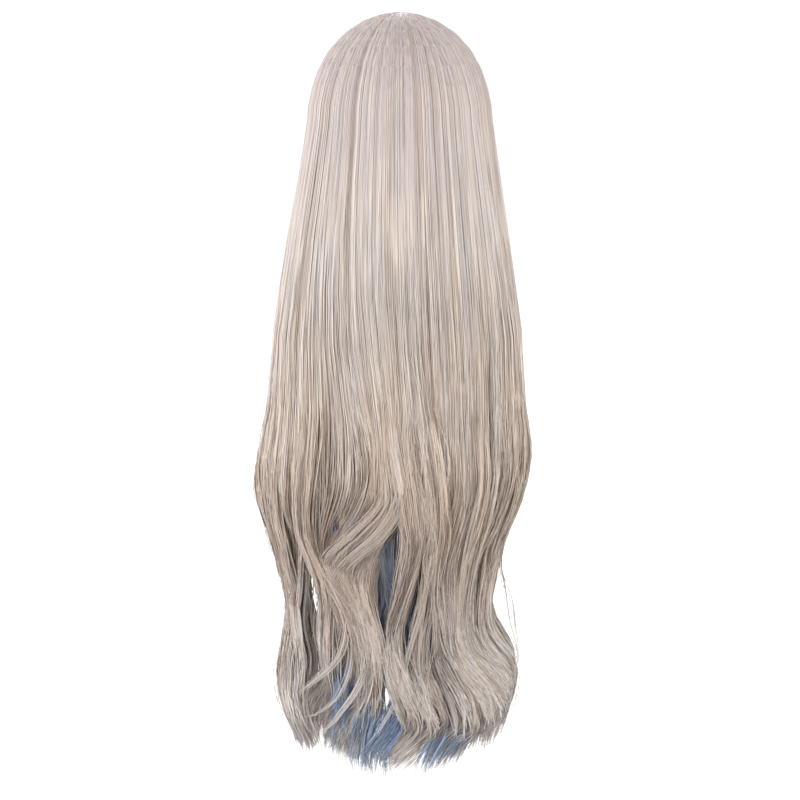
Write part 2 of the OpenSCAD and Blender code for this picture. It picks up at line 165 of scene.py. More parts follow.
# Each lock: its body, its edges at the roots, how far it lies behind its neighbours lower down, its
# lowest drop, and the directions that its middle passes on its way down, as drop: direction.
LOCKS = [
    ("right_lock", -141, -122, 0.002, 0.865, {0.29: -131, 0.45: -129, 0.57: -119, 0.68: -123, 0.78: -123}),
    ("right_lock", -122, -103, -0.002, 0.875, {0.29: -112, 0.45: -110, 0.57: -100, 0.68: -104, 0.78: -106}),
    ("side_right_fall", -103, -82, 0.002, 0.84, {0.29: -92, 0.45: -90, 0.57: -80, 0.68: -84, 0.80: -87}),
    ("side_right_fall", -82, -62, -0.001, 0.83, {0.29: -72, 0.45: -71, 0.56: -60, 0.62: -59, 0.70: -65,
                                                0.76: -73, 0.82: -70}),
    ("back_right_fall", -62, -49, 0.004, 0.82, {0.29: -58, 0.40: -56, 0.48: -53, 0.53: -50, 0.57: -48,
                                               0.62: -46, 0.67: -48, 0.72: -52, 0.78: -65, 0.82: -58}),
    ("back_right_fall", -49, -37, -0.004, 0.83, {0.29: -43, 0.40: -42, 0.49: -39, 0.56: -36, 0.61: -37,
                                                0.67: -39, 0.72: -43, 0.77: -54, 0.80: -60, 0.83: -50}),
    ("back_right_fall", -37, -24, 0.002, 0.84, {0.29: -30, 0.40: -30, 0.49: -29, 0.56: -27, 0.61: -27,
                                               0.66: -31, 0.71: -34, 0.77: -43, 0.81: -48, 0.84: -38}),
    ("back_fall", -24, -13, 0.006, 0.84, {0.29: -19, 0.40: -20, 0.49: -20, 0.56: -19, 0.63: -21, 0.68: -26,
                                         0.73: -27, 0.78: -32, 0.81: -36, 0.84: -24}),
    ("back_fall", -13, -2, -0.002, 0.837, {0.29: -8, 0.39: -10, 0.45: -13, 0.51: -15, 0.56: -17, 0.63: -17,
                                          0.69: -13, 0.74: -12, 0.78: -17, 0.81: -12, 0.84: 7}),
    ("back_fall", -2, 9, 0.000, 0.828, {0.28: 2, 0.39: -1, 0.45: -2, 0.51: -5, 0.56: -7, 0.61: -4, 0.66: 2,
                                       0.69: 4, 0.74: -1, 0.77: -5, 0.80: -3, 0.83: 10}),
    ("back_fall", 9, 24, -0.005, 0.824, {0.28: 14, 0.39: 8, 0.47: 5, 0.515: 4, 0.555: 12, 0.59: 21, 0.63: 20,
                                       0.66: 17, 0.69: 14, 0.73: 14, 0.77: 19, 0.83: 33}),
    ("back_left_fall", 24, 31, 0.005, 0.83, {0.29: 23, 0.39: 17, 0.44: 12.5, 0.475: 11, 0.53: 17, 0.575: 29,
                                            0.625: 21, 0.66: 16, 0.70: 16, 0.75: 23, 0.80: 36, 0.83: 42}),
    ("back_left_fall", 31, 38, 0.002, 0.83, {0.29: 31, 0.39: 25, 0.44: 21.5, 0.49: 20, 0.53: 25, 0.575: 35,
                                            0.63: 27, 0.66: 22, 0.70: 20, 0.75: 25, 0.80: 37, 0.83: 44}),
    ("back_left_fall", 38, 44, 0.008, 0.81, {0.29: 38, 0.40: 33, 0.49: 31, 0.54: 33, 0.575: 36, 0.63: 32,
                                            0.68: 27, 0.73: 28, 0.79: 40}),
    ("back_left_fall", 44, 52, -0.003, 0.81, {0.29: 46, 0.40: 42, 0.47: 40, 0.53: 40, 0.57: 40, 0.61: 37,
                                             0.67: 37, 0.71: 36, 0.74: 37, 0.79: 48}),
    ("back_left_fall", 52, 62, 0.001, 0.815, {0.29: 56, 0.40: 53, 0.50: 50, 0.56: 53, 0.60: 58, 0.66: 59,
                                             0.70: 54, 0.77: 53, 0.82: 50}),
    ("side_left_fall", 62, 82, 0.000, 0.845, {0.29: 72, 0.40: 70, 0.46: 67, 0.51: 65, 0.58: 67, 0.66: 66,
                                             0.76: 67, 0.83: 64}),
    ("side_left_fall", 82, 103, 0.003, 0.855, {0.29: 92, 0.40: 90, 0.46: 88, 0.56: 86, 0.66: 84, 0.76: 88,
                                              0.84: 84}),
    ("left_lock", 103, 122, -0.002, 0.875, {0.29: 112, 0.45: 108, 0.57: 98, 0.65: 92, 0.78: 105, 0.86: 104}),
    ("left_lock", 122, 141, 0.002, 0.875, {0.29: 131, 0.45: 127, 0.57: 109, 0.65: 100, 0.71: 109, 0.78: 120,
                                          0.85: 118}),
]
ROOT_MIDDLES = np.array([(lo + hi) / 2 for _, lo, hi, _, _, _ in LOCKS])
# The locks on both sides of the gap on the wearer's left keep together, with less play than others,
# and three of them have blunter ends
TIGHT, TIGHT_PLAY = (14, 15, 16, 17, 18), 0.35
BLUNT, BLUNT_PLAY = (15, 16, 17), 0.25
# Locks whose middle is nearer to the back than this have more fibres and draw in as they fall, and the
# others hardly draw in
BACK_EDGE = 62
BACK_NARROWS, SIDE_NARROWS = 0.25, 0.05
# Drops where the fibres start to follow their own lock, and where they all do
LOCK_FROM, LOCK_FULL = 0.38, 0.56
# Step up and down over which a path is smoothed, and how far a lock goes inwards for each degree per
# metre that it crosses towards the wearer's left, or outwards towards the right
GUIDE_SOFT = 0.016
HELIX = 0.00010
# Drops where short fibres start to run ahead along the path, where wisps form, and where tips curl
AHEAD_FROM, GATHER_FROM, CURL_FROM = 0.62, 0.22, 0.70
# Length over which a wisp comes together at its tip
TIP_GATHER = 0.13
# Hair from PART_FROM round to the temples starts at the parting, and the rest starts at the crown
PART_FROM = 66
TEMPLE_EDGE = 141
# Fibres less deep than TOP_LAYER start at the top, the others start under them, and none lies deeper
# than DEEPEST
TOP_LAYER = 0.0042
DEEPEST = 0.020


def at_back(lock):
    """Whether a lock hangs at the back."""
    _, lo, hi, _, _, _ = LOCKS[lock]
    return abs(lo + hi) / 2 < BACK_EDGE


def lock_offset(lock, drop):
    """How far a lock's middle has moved sideways from its roots, in degrees."""
    _, lo, hi, _, _, path = LOCKS[lock]
    points = {CAP_RISE: (lo + hi) / 2, **path}
    above, here, below = (follow(points, drop + step) for step in (-GUIDE_SOFT, 0, GUIDE_SOFT))
    return (above + 2 * here + below) / 4 - (lo + hi) / 2


def shared_offset(az, drop):
    """Sideways path at a root direction, mixed smoothly from the locks on both sides."""
    table = np.stack([lock_offset(i, drop) for i in range(len(LOCKS))])
    x = np.clip(az, ROOT_MIDDLES[0], ROOT_MIDDLES[-1])
    j = np.clip(np.searchsorted(ROOT_MIDDLES, x) - 1, 0, len(LOCKS) - 2)
    t = ((x - ROOT_MIDDLES[j]) / (ROOT_MIDDLES[j + 1] - ROOT_MIDDLES[j]))[:, None]
    each = np.arange(len(az))
    return table[j, each] * (1 - t) + table[j + 1, each] * t


# ---------------------------------------------------------------- fibre meshes

def wander(n, drop, lengths):
    """A smooth random sideways drift for each of n strands, between about -1 and 1."""
    total = np.zeros_like(drop)
    for length in lengths:
        phase = rng.uniform(0, 2 * np.pi, n)[:, None]
        stretch = rng.uniform(0.8, 1.25, n)[:, None]
        total += np.sin(2 * np.pi * drop / (length * stretch) + phase)
    return total / len(lengths) ** 0.5


def bake_uv(n, m):
    """A strip of the unit square for each fibre, as (n, m, 2 edges, 2)."""
    shelves = 4
    columns = math.ceil(n / shelves)
    i = np.arange(n)
    left = (i % columns + 0.15) / columns
    right = (i % columns + 0.85) / columns
    v = (i // columns)[:, None] + 0.02 + 0.96 * np.linspace(0, 1, m)[None]
    u = np.stack([left, right], -1)[:, None, :].repeat(m, 1)
    return np.stack([u, (v / shelves)[..., None].repeat(2, -1)], -1)


def fibre_points(paths, radii):
    """Corners of the rings round each fibre, as (fibre, ring, side, 3)."""
    tangent = np.gradient(paths, axis=1)
    tangent /= np.linalg.norm(tangent, axis=2, keepdims=True) + 1e-12
    outward = paths - np.array([0, 0, -CAP_RISE])
    outward[..., 2] = np.where(paths[..., 2] < -CAP_RISE, 0, outward[..., 2])
    outward -= (outward * tangent).sum(2, keepdims=True) * tangent
    outward /= np.linalg.norm(outward, axis=2, keepdims=True) + 1e-12
    across = np.cross(tangent, outward)
    turn = rng.uniform(0, 2 * np.pi, len(paths))[:, None, None, None]
    angles = 2 * np.pi * np.arange(SIDES)[None, None, :, None] / SIDES + turn
    ring = np.cos(angles) * outward[:, :, None] + np.sin(angles) * across[:, :, None]
    return paths[:, :, None] + ring * radii[:, :, None, None]


def fibre_faces(n, m, base):
    """Side faces and end faces of n fibres of m rings each, whose corners are numbered from base, and
    the UV of the corners of both."""
    idx = base + np.arange(n * m * SIDES).reshape(n, m, SIDES)
    nxt = np.roll(idx, -1, axis=2)
    quads = np.stack([idx[:, :-1], nxt[:, :-1], nxt[:, 1:], idx[:, 1:]], -1)
    strip = bake_uv(n, m)
    a, b = strip[:, :-1, 0], strip[:, :-1, 1]
    c, d = strip[:, 1:, 1], strip[:, 1:, 0]
    quad_uv = np.stack([a, b, c, d], 2)[:, :, None].repeat(SIDES, 2)
    ends = np.concatenate([idx[:, 0, ::-1], idx[:, -1]])
    end_uv = np.concatenate([strip[:, 0, :1].repeat(SIDES, 1), strip[:, -1, :1].repeat(SIDES, 1)])
    return quads.reshape(-1, 4), ends, quad_uv.reshape(-1, 2), end_uv.reshape(-1, 2)


def mesh_object(name, points, quads, ends, uv):
    """A smooth mesh of side faces and end faces, with its UV layer, as an object in the scene."""
    loops = np.concatenate([quads.ravel(), ends.ravel()]).astype(np.int32)
    sizes = np.concatenate([np.full(len(quads), 4), np.full(len(ends), SIDES)])
    mesh = bpy.data.meshes.new(name)
    mesh.vertices.add(len(points))
    mesh.vertices.foreach_set("co", points.astype(np.float32).ravel())
    mesh.loops.add(len(loops))
    mesh.loops.foreach_set("vertex_index", loops)
    mesh.polygons.add(len(sizes))
    mesh.polygons.foreach_set("loop_start", np.concatenate([[0], np.cumsum(sizes)[:-1]]).astype(np.int32))
    layer = mesh.uv_layers.new(name="OFBake")
    layer.data.foreach_set("uv", uv.astype(np.float32).ravel())
    mesh.update(calc_edges=True)
    mesh.shade_smooth()
    obj = bpy.data.objects.new(name, mesh)
    scene.collection.objects.link(obj)
    return obj


def tube_mesh(name, groups):
    """One mesh of closed fibres from several groups, each (paths, radii, tone). Its points carry each
    fibre's tone, their drop, and a number that is the fibre's own."""
    points, faces, tones, drops, strands = [], [], [], [], []
    base = 0
    for paths, radii, tone in groups:
        n, m, _ = paths.shape
        points.append(fibre_points(paths, radii).reshape(-1, 3))
        faces.append(fibre_faces(n, m, base))
        tones.append(np.broadcast_to(tone[:, :, None], (n, m, SIDES)).ravel())
        drops.append(np.broadcast_to(-paths[:, :, None, 2], (n, m, SIDES)).ravel())
        strands.append(rng.uniform(0, 900, n).repeat(m * SIDES))
        base += n * m * SIDES
    quads, ends, quad_uv, end_uv = (np.concatenate(part) for part in zip(*faces))
    obj = mesh_object(name, np.concatenate(points), quads, ends, np.concatenate([quad_uv, end_uv]))
    for label, values in (("tone", tones), ("drop", drops), ("strand", strands)):
        stored = obj.data.attributes.new(label, "FLOAT", "POINT")
        stored.data.foreach_set("value", np.concatenate(values).astype(np.float32))
    return obj


def taper(paths, end_drop, radius):
    """Fibre radii: fine at the roots, full along the length, drawn out at the tips."""
    root = np.minimum(1, 0.45 + np.arange(paths.shape[1]) / 6)[None]
    tip = np.clip((end_drop[:, None] + paths[..., 2]) / TIP_RUN, 0, 1) ** 0.6
    return radius * root * (0.25 + 0.75 * tip)


def fall_drops(end_drop):
    """Drops of the rings below the cap: few along the straight part, close together in the waves."""
    straight = np.linspace(CAP_RISE, STRAIGHT_TO, STRAIGHT_RINGS)
    waves = np.linspace(0, 1, WAVE_RINGS + 1)[1:]
    n = len(end_drop)
    return np.concatenate([
        straight[None].repeat(n, 0),
        STRAIGHT_TO + (end_drop[:, None] - STRAIGHT_TO) * waves[None],
    ], axis=1)


def grooves(az, drop):
    """Shallow ridges and furrows that run down the straight hair, from about -1 to 1."""
    return (
        np.sin(np.radians(az * 31 + 40 * np.sin(drop * 9 + 1))) * 0.5
        + np.sin(np.radians(az * 53 + 70 * np.sin(drop * 7))) * 0.3
        + np.sin(np.radians(az * 97 + 90 * np.sin(drop * 12 + 2))) * 0.3
    )


def bands(az):
    """Lighter and darker bands of hair round the head, from about -1 to 1."""
    return 0.6 * np.sin(np.radians(az * 43 + 20)) + 0.5 * np.sin(np.radians(az * 71))


def gather(lo, hi, count, per_wisp):
    """Directions of the wisps, spread evenly with some play, and the wisp of each fibre."""
    wisps = max(4, count // per_wisp)
    wisp_az = lo + (np.arange(wisps) + rng.uniform(0, 1, wisps)) / wisps * (hi - lo)
    w = np.arange(count) % wisps
    return wisps, wisp_az, w


def contrast(tone, drop):
    """Fibre tones along each fibre: alike at the top, further apart in the waves."""
    return np.clip(0.5 + (tone - 0.5)[:, None] * (0.7 + 1.1 * ease((drop - 0.35) / 0.25)), 0, 1)


def over_cap(az0, own_depth, az, inset):
    """Points of a lock's fibres over the cap, from their starts to the direction and depth of their
    first ring below it."""
    count = len(az0)
    steps = np.linspace(0, 1, DOME_RINGS, endpoint=False)
    outer = (own_depth < TOP_LAYER)[:, None]
    reach = np.clip((abs(az0) - PART_FROM) / (TEMPLE_EDGE - PART_FROM), 0, 1)
    parted = 2 + 56 * reach * rng.uniform(0.45, 1, count)
    from_crown = rng.uniform(-3, 7, count)
    start_tilt = np.where(reach > 0, parted, from_crown)[:, None]
    start_az = np.where(reach > 0, np.copysign(180 - rng.uniform(0, 2, count), az0), az0)[:, None]
    under_tilt = rng.uniform(10, 60, count)[:, None]
    start_tilt = np.where(outer, start_tilt, under_tilt)
    start_az = np.where(outer, start_az, az0[:, None])
    tilt = start_tilt + (90 - start_tilt) * steps
    bend = (1 - (1 - steps) ** 2.5)[None, :, None]
    heading = towards(start_az, start_tilt) * (1 - bend) + towards(az, tilt) * bend
    az_top, tilt_top = directions(heading)
    dip = 0.0015 * np.exp(-(((tilt - start_tilt) / 5) ** 2))
    under = np.where(outer, 0, 0.005) * (1 - steps)
    inset_top = inset * (0.4 + 0.6 * ease(tilt_top / 90)) + dip + under
    return fill_sides(on_dome(az_top, tilt_top, inset_top))


def lock_fibres(lock, count, per_wisp, layer_range, radius):
    """Fibres of one lock, from the crown over the cap and down, gathered in wisps."""
    _, lo, hi, behind, lowest, _ = LOCKS[lock]
    middle = (lo + hi) / 2
    ragged = BLUNT_PLAY if lock in BLUNT else 1
    tight = TIGHT_PLAY if lock in TIGHT else 1
    narrows = BACK_NARROWS if at_back(lock) else SIDE_NARROWS
    layer = layer_range[1] - layer_range[0]

    # Each wisp's place, depth, end and tone, and those of each of its fibres
    wisps, wisp_az, w = gather(lo, hi, count, per_wisp)
    wisp_depth = layer_range[0] + layer * rng.uniform(0, 1, wisps) ** 2
    wisp_end = lowest + ragged * np.clip(rng.normal(-0.012, 0.018, wisps), -0.06, 0.008)
    wisp_tone = rng.normal(0, 0.13, wisps)
    az0 = wisp_az[w] + rng.normal(0, 0.9, count)
    own_depth = layer_range[0] + 0.5 * layer * rng.uniform(0, 1, count) ** 1.6
    end = wisp_end[w] + ragged * np.clip(rng.normal(0, 0.007, count), -0.03, 0.01)
    tone = 0.5 + wisp_tone[w] + rng.normal(0, 0.16, count) + 0.11 * bands(az0)
    loyal = 1 - 0.6 * tight * rng.uniform(0, 1, wisps)[w] ** 2
    stray = np.where(rng.uniform(0, 1, count) < STRAYS, 1.0, 0.0)

    # How much each ring follows its lock, its wisp and its own drift
    drop = fall_drops(end)
    guide = drop + (lowest - end)[:, None] * ease((drop - AHEAD_FROM) / (end[:, None] - AHEAD_FROM))
    share = loyal[:, None] * ease((drop - LOCK_FROM) / (LOCK_FULL - LOCK_FROM))
    at_tip = ease((drop - end[:, None] + TIP_GATHER) / TIP_GATHER)
    clump = 0.22 * ease((drop - GATHER_FROM) / 0.5) + 0.66 * at_tip
    gathered = ease((drop - GATHER_FROM) / 0.28)
    narrow = 1 - narrows * ease((drop - 0.42) / 0.36)
    loose = 0.10 + 0.9 * ease((drop - 0.15) / 0.65)

    # Directions in degrees, with drifts that repeat over the given lengths of drop
    across_lock = (wisp_az[w] - middle)[:, None] * (1 - share * (1 - narrow))
    within = across_lock + (az0 - wisp_az[w])[:, None] * (1 - clump)
    az = middle + within + (1 - share) * shared_offset(az0, guide) + share * lock_offset(lock, guide)
    wisp_drop = drop.mean(0)[None].repeat(wisps, 0)
    az += 1.2 * tight * loose * wander(wisps, wisp_drop, (0.31, 0.19))[w]
    az += (0.4 * (1 - clump) + 3.6 * stray[:, None]) * loose * wander(count, drop, (0.21, 0.13))
    az += 2.4 * ease((drop - CURL_FROM) / 0.10) * wander(wisps, wisp_drop, (0.22, 0.15))[w]

    # Depths in metres
    slope = (lock_offset(lock, guide + 0.01) - lock_offset(lock, guide - 0.01)) / 0.02
    inset = (
        own_depth[:, None] * (1 - gathered) + wisp_depth[w][:, None] * gathered
        + 0.0009 * (1 + grooves(az, drop)) * (1 - 0.6 * gathered)
        + share * (behind + HELIX * slope)
        + 0.0018 * loose * wander(wisps, wisp_drop, (0.27, 0.16))[w]
        + 0.0009 * loose * wander(count, drop, (0.12, 0.07))
    )
    inset = np.clip(inset, -0.004 * share, DEEPEST) - 0.005 * stray[:, None] * loose

    hang = on_fall(az, drop, inset)
    dome = over_cap(az0, own_depth, az[:, :1], inset[:, :1])
    paths = np.concatenate([dome, hang], axis=1)
    thin = 1 - 0.4 * stray[:, None]
    return paths, thin * taper(paths, end, radius), contrast(tone, -paths[..., 2])


# Thin wisps that leave their lock and cross over others: the lock they grow from, their number of
# fibres, their spread in degrees, the directions by drop, and the depths in millimetres by drop
LOOSE_WISPS = [
    (9, 20, 2.2, {0.44: -1, 0.50: 0, 0.53: 4, 0.56: 12, 0.59: 24, 0.63: 33, 0.67: 36},
     {0.44: 4, 0.52: -2, 0.67: 1}),
    (9, 14, 1.8, {0.46: 2, 0.52: 3, 0.55: 10, 0.58: 21, 0.61: 29, 0.65: 28, 0.69: 24},
     {0.46: 4, 0.53: -3, 0.69: 0}),
    (10, 18, 2.2, {0.45: 6, 0.51: 7, 0.55: 18, 0.58: 29, 0.62: 35, 0.67: 34, 0.72: 30},
     {0.45: 3, 0.54: -3, 0.72: 2}),
    (8, 12, 1.0, {0.50: -14, 0.57: -16, 0.64: -12, 0.70: -4, 0.75: 2, 0.80: 10},
     {0.50: 4, 0.62: -3, 0.80: 2}),
    (7, 14, 1.2, {0.48: -20, 0.56: -19, 0.63: -20, 0.69: -27, 0.75: -36, 0.80: -30},
     {0.48: 4, 0.62: -3, 0.80: 2}),
    (12, 12, 1.0, {0.58: 33, 0.64: 26, 0.69: 27, 0.72: 34, 0.75: 46, 0.77: 53},
     {0.58: 4, 0.68: -3, 0.77: -3}),
    (12, 10, 0.8, {0.62: 28, 0.70: 22, 0.75: 28, 0.78: 40, 0.80: 52},
     {0.62: 4, 0.72: -3, 0.80: -2}),
    (11, 12, 1.0, {0.60: 25, 0.68: 15, 0.73: 18, 0.78: 30, 0.82: 42},
     {0.60: 4, 0.70: -2, 0.82: 0}),
    (4, 5, 1.6, {0.48: -60, 0.57: -62, 0.64: -76, 0.69: -84, 0.73: -78, 0.77: -66},
     {0.48: 4, 0.62: -6, 0.69: -34, 0.77: -2}),
    (3, 5, 1.4, {0.50: -70, 0.59: -70, 0.66: -82, 0.71: -86, 0.76: -80},
     {0.50: 3, 0.61: -4, 0.69: -26, 0.76: -6}),
]
WISP_RINGS = 26


def loose_fibres(count, spread, path, depths):
    """Fibres of one thin wisp that comes out of its lock, crosses the hair and ends in a point."""
    first, last = min(path), max(path)
    end = last - 0.02 * rng.uniform(0, 1, count)
    drop = first + (end - first)[:, None] * np.linspace(0, 1, WISP_RINGS)[None]
    fan = np.sin(np.pi * (drop - first) / (last - first) * 0.8 + 0.2)
    az = follow(path, drop) + spread * rng.normal(0, 1, count)[:, None] * fan
    inset = follow(depths, drop) / 1000 + 0.0015 * rng.normal(0, 1, count)[:, None] * fan
    tone = rng.normal(0.95, 0.15, count)
    paths = on_fall(az, drop, inset)
    return paths, taper(paths, end, 0.8 * FIBRE_R), contrast(tone, drop)


def build_lock(lock):
    """One outer lock: its fibres, the ones that fill behind them, and the loose wisps it sends out."""
    body, lo, hi, _, _, _ = LOCKS[lock]
    density = BACK_DENSITY if at_back(lock) else SIDE_DENSITY
    fill_count = round(LOCK_FILL_DENSITY * (hi - lo))
    outer = lock_fibres(lock, round(density * (hi - lo)), LOCK_WISP, (0.0, FALL_DEPTH), FIBRE_R)
    fill = lock_fibres(lock, fill_count, FILL_WISP, (0.010, FALL_DEPTH + 0.003), FILL_R)
    loose = [loose_fibres(*wisp[1:]) for wisp in LOOSE_WISPS if wisp[0] == lock]
    return tube_mesh(f"{body}_lock_{lock + 1}", [outer, fill, *loose])


# ---------------------------------------------------------------- under layer

# The blue under layer: its body, its edges at the roots, its lowest drop and the path of its middle
UNDER_LOCKS = [
    ("back_right_fall", -58, -24, 0.828, {0.30: -40, 0.50: -37, 0.62: -33, 0.72: -34, 0.80: -40, 0.85: -28}),
    ("back_fall", -24, -8, 0.832, {0.30: -16, 0.60: -11, 0.66: -13, 0.70: -20, 0.78: -27, 0.85: -16}),
    ("back_fall", -8, 8, 0.838, {0.30: 0, 0.50: 0, 0.63: 2, 0.70: -4, 0.78: 2, 0.84: 14}),
    ("back_fall", 8, 24, 0.832, {0.30: 15, 0.55: 14, 0.63: 12, 0.70: 19, 0.76: 15, 0.84: 24}),
    ("back_left_fall", 24, 52, 0.822, {0.30: 37, 0.55: 30, 0.66: 26, 0.76: 24, 0.84: 32}),
]
# Drop where the under layer starts, and the depths between which its wisps lie
UNDER_TOP = 0.130
UNDER_DEPTHS = (0.018, 0.030)


def under_fibres(lock, count, per_wisp, radius):
    """Fibres of one lock of the under layer, from the lower wefts down."""
    _, lo, hi, lowest, path = UNDER_LOCKS[lock]
    wisps, wisp_az, w = gather(lo, hi, count, per_wisp)
    wisp_depth = rng.uniform(*UNDER_DEPTHS, wisps)
    wisp_end = lowest + np.clip(rng.normal(0, 0.014, wisps), -0.05, 0.012)
    wisp_tone = rng.normal(0, 0.15, wisps)
    az0 = wisp_az[w] + rng.normal(0, 1.2, count)
    end = wisp_end[w] + rng.normal(0, 0.008, count)
    tone = 0.5 + wisp_tone[w] + rng.normal(0, 0.13, count)
    drop = UNDER_TOP + (end[:, None] - UNDER_TOP) * np.linspace(0, 1, STRAIGHT_RINGS + WAVE_RINGS)[None]
    middle = (lo + hi) / 2
    own = follow({UNDER_TOP: middle, **path}, drop)
    narrow = 1 - 0.30 * ease((drop - 0.45) / 0.35)
    clump = 0.1 + 0.5 * ease((drop - 0.25) / 0.5)
    loose = 0.15 + 0.85 * ease((drop - 0.15) / 0.65)
    wisp_drop = drop.mean(0)[None].repeat(wisps, 0)
    az = own + (wisp_az[w] - middle)[:, None] * narrow + (az0 - wisp_az[w])[:, None] * (1 - clump)
    az += 2.2 * loose * wander(wisps, wisp_drop, (0.29, 0.18))[w]
    az += 0.4 * loose * wander(count, drop, (0.13, 0.07))
    inset = wisp_depth[w][:, None] - 0.008 * ease((drop - 0.6) / 0.2)
    inset = inset + 0.003 * loose * wander(wisps, wisp_drop, (0.26, 0.15))[w]
    paths = on_fall(az, drop, inset)
    return paths, taper(paths, end, radius), contrast(tone, drop)


# ---------------------------------------------------------------- fringe

# Drop of the longest fringe fibres, and the rings of each
FRINGE_END = 0.114
FRINGE_RINGS = 16


def fringe_fibres(side, count, per_wisp, radius):
    """Fibres of one side of the fringe, from the parting forwards and down over the forehead."""
    wisps, wisp_az, w = gather(TEMPLE_EDGE, 180, count, per_wisp)
    wisp_depth = 0.010 * rng.uniform(0, 1, wisps)
    wisp_end = FRINGE_END + np.clip(rng.normal(-0.004, 0.006, wisps), -0.02, 0.001)
    wisp_tone = rng.normal(0, 0.10, wisps)
    az0 = np.clip(wisp_az[w] + rng.normal(0, 1.0, count), TEMPLE_EDGE, 180)
    tone = 0.5 + wisp_tone[w] + rng.normal(0, 0.16, count)
    end = wisp_end[w] + rng.normal(0, 0.002, count)
    t = np.linspace(0, 1, FRINGE_RINGS)[None]
    start_tilt = rng.uniform(3, 34, count)[:, None] * np.clip((180 - az0) / 30, 0.25, 1)[:, None]
    rise = CAP_RISE + CROWN_LIFT
    end_tilt = np.degrees(np.arccos(np.clip((CAP_RISE - end) / rise, -1, 1)))[:, None]
    tilt = start_tilt + (end_tilt - start_tilt) * t
    az = 180 + (az0[:, None] - 180) * (1 - (1 - t) ** 1.6)
    az = az - 0.8 * ease((t - 0.45) / 0.55) + 1.2 * t * wander(wisps, t.repeat(wisps, 0), (1.1, 0.6))[w]
    drop = CAP_RISE - rise * np.cos(np.radians(tilt))
    tuck = 0.003 + 0.014 * ease((drop - 0.02) / 0.075)
    dip = 0.004 * np.exp(-(((tilt - start_tilt) / 8) ** 2))
    paths = on_dome(side * az, tilt, tuck + wisp_depth[w][:, None] + dip)
    paths[..., 2] = -drop - dip
    root = np.minimum(1, 0.45 + np.arange(FRINGE_RINGS) / 4)[None]
    tip = np.clip((1 - t) / 0.25, 0, 1) ** 0.6
    return paths, radius * root * (0.25 + 0.75 * tip), contrast(tone, drop)


# ---------------------------------------------------------------- building

def build_under(lock):
    """One lock of the under layer, with the fibres that fill it."""
    body, lo, hi, _, _ = UNDER_LOCKS[lock]
    strands = under_fibres(lock, round(UNDER_DENSITY * (hi - lo)), UNDER_WISP, FIBRE_R)
    filling = under_fibres(lock, round(UNDER_FILL_DENSITY * (hi - lo)), FILL_WISP, FILL_R)
    return tube_mesh(f"{body}_under_{lock + 1}", [strands, filling])


def build_fringe(side, body):
    """One side of the fringe: 1 for the wearer's left, -1 for the right."""
    strands = fringe_fibres(side, FRINGE_FIBRES, FRINGE_WISP, FIBRE_R)
    filling = fringe_fibres(side, FRINGE_FILL, FILL_WISP, FILL_R)
    return tube_mesh(f"{body}_hair", [strands, filling])


hair_pieces = [(build_lock(i), lock[0]) for i, lock in enumerate(LOCKS)]
under_pieces = [(build_under(i), lock[0]) for i, lock in enumerate(UNDER_LOCKS)]
fringe_pieces = [
    (build_fringe(side, body), body) for side, body in ((1, "left_fringe"), (-1, "right_fringe"))
]

# ---------------------------------------------------------------- materials

def material(name, roughness=0.5):
    """A new material with its nodes, links and shader."""
    mat = bpy.data.materials.new(name)
    mat.use_nodes = True
    nodes, links = mat.node_tree.nodes, mat.node_tree.links
    shader = nodes["Principled BSDF"]
    shader.inputs["Metallic"].default_value = 0.0
    shader.inputs["Roughness"].default_value = roughness
    return mat, nodes, links, shader


def ramp(nodes, stops):
    """A colour ramp through stops, each (position, colour)."""
    node = nodes.new("ShaderNodeValToRGB")
    node.color_ramp.elements[0].position = stops[0][0]
    node.color_ramp.elements[0].color = (*stops[0][1], 1)
    node.color_ramp.elements[1].position = stops[-1][0]
    node.color_ramp.elements[1].color = (*stops[-1][1], 1)
    for position, colour in stops[1:-1]:
        node.color_ramp.elements.new(position).color = (*colour, 1)
    return node


def multiply(nodes, links, a, b):
    """Product of two colours."""
    mix = nodes.new("ShaderNodeMix")
    mix.data_type = "RGBA"
    mix.blend_type = "MULTIPLY"
    mix.inputs["Factor"].default_value = 1.0
    links.new(a, mix.inputs["A"])
    links.new(b, mix.inputs["B"])
    return mix.outputs["Result"]


def combine(nodes, links, kind, *values):
    """Result of a maths node on values, each a number or a socket."""
    node = nodes.new("ShaderNodeMath")
    node.operation = kind
    for socket, value in zip(node.inputs, values):
        if isinstance(value, (int, float)):
            socket.default_value = value
        else:
            links.new(value, socket)
    return node.outputs["Value"]


def attribute(nodes, name):
    """A value stored on the fibres' points."""
    node = nodes.new("ShaderNodeAttribute")
    node.attribute_name = name
    return node.outputs["Fac"]


def scaled(nodes, links, coords, scale):
    """Coordinates times the scale."""
    mapping = nodes.new("ShaderNodeMapping")
    mapping.inputs["Scale"].default_value = scale
    links.new(coords, mapping.inputs["Vector"])
    return mapping.outputs["Vector"]


def object_coords(nodes, links, scale):
    """The piece's own coordinates in metres, times the scale."""
    place = nodes.new("ShaderNodeTexCoord")
    return scaled(nodes, links, place.outputs["Object"], scale)


def noise_at(nodes, links, coords, detail):
    """Noise with a grain of about one unit of the coordinates."""
    node = nodes.new("ShaderNodeTexNoise")
    node.inputs["Scale"].default_value = 1.0
    node.inputs["Detail"].default_value = detail
    links.new(coords, node.inputs["Vector"])
    return node.outputs["Fac"]


def noise(nodes, links, scale, detail=3.0):
    """Noise in the piece's own space, with scale grains per metre."""
    return noise_at(nodes, links, object_coords(nodes, links, scale), detail)


